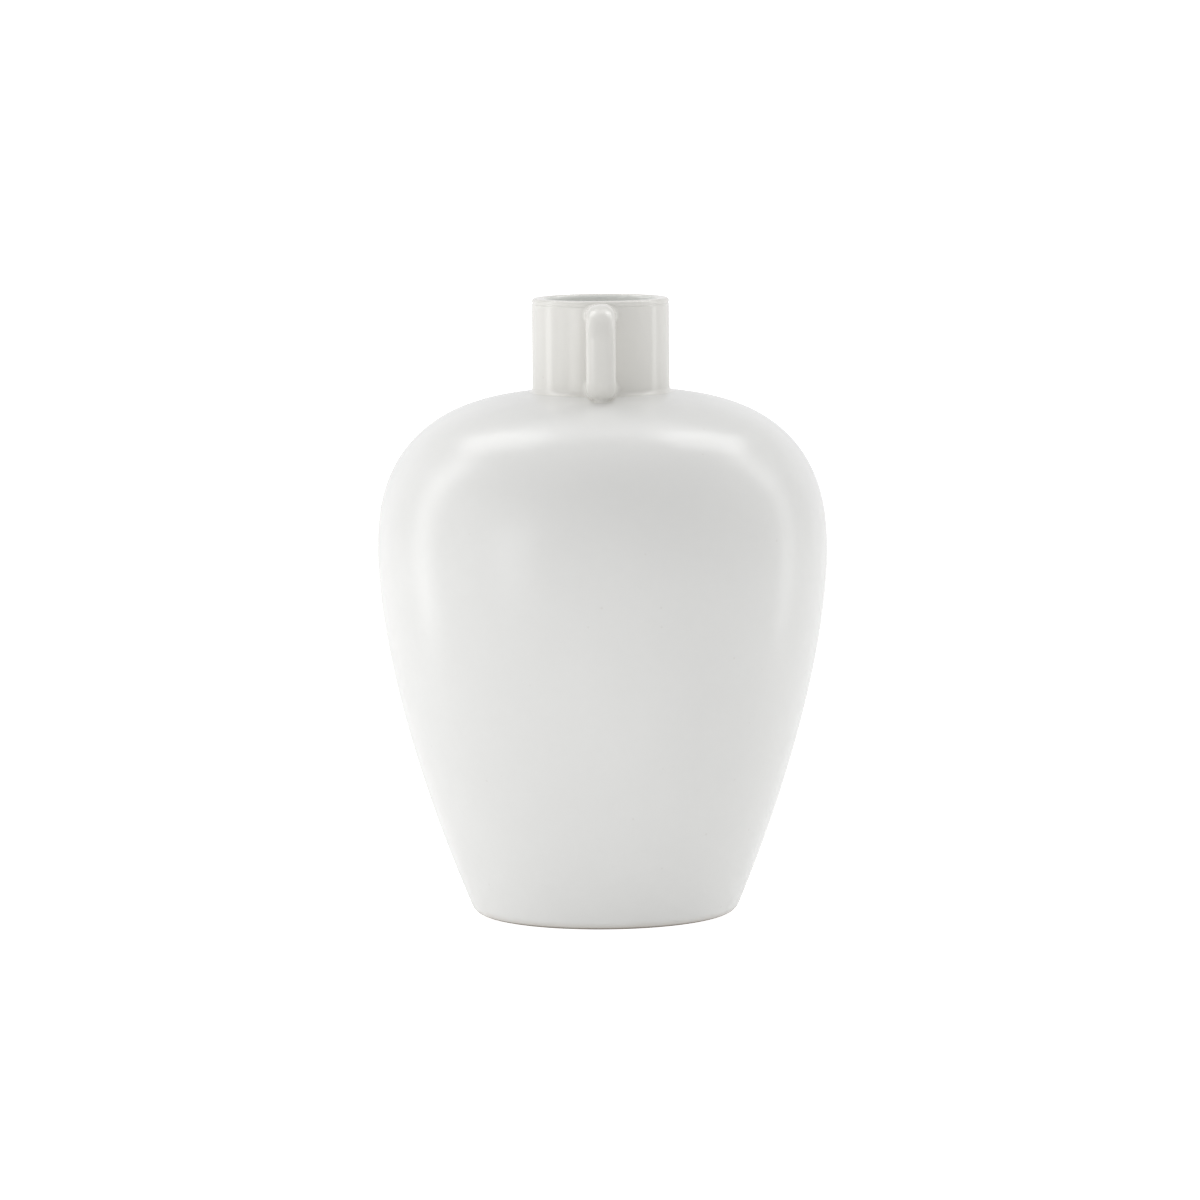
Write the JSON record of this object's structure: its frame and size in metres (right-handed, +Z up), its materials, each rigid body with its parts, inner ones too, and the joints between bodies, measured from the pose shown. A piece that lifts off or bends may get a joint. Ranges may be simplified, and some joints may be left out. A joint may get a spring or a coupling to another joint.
{
  "type": "bud vase",
  "caption": "Glazed ceramic bud vase with a wide rounded shoulder tapering to a small foot, a short straight neck and a strap handle on the neck.",
  "frame": {"origin": "middle of the foot, on the surface that the vase stands on", "axes": "+Z up along the vase's axis, the handle stands out towards -Y, +X to the right as seen from the handle's side"},
  "size_m": [0.1312, 0.1312, 0.18],
  "materials": {
    "body_glaze": "satin white glaze on stoneware",
    "neck_glaze": "satin white glaze on stoneware",
    "handle_glaze": "satin white glaze on stoneware, thinner along the edges",
    "lining_glaze": "clear-white liner glaze, glossier than the outside",
    "bare_clay": "unglazed pale stoneware, wiped and sanded"
  },
  "bodies": {
    "root": {"body": "body_glaze", "foot_ring": "bare_clay", "neck": "neck_glaze", "neck_slip_joint": "neck_glaze", "handle": "handle_glaze", "handle_upper_slip_joint": "handle_glaze", "handle_lower_slip_joint": "handle_glaze", "glaze_lining": "lining_glaze"}
  },
  "joints": []
}
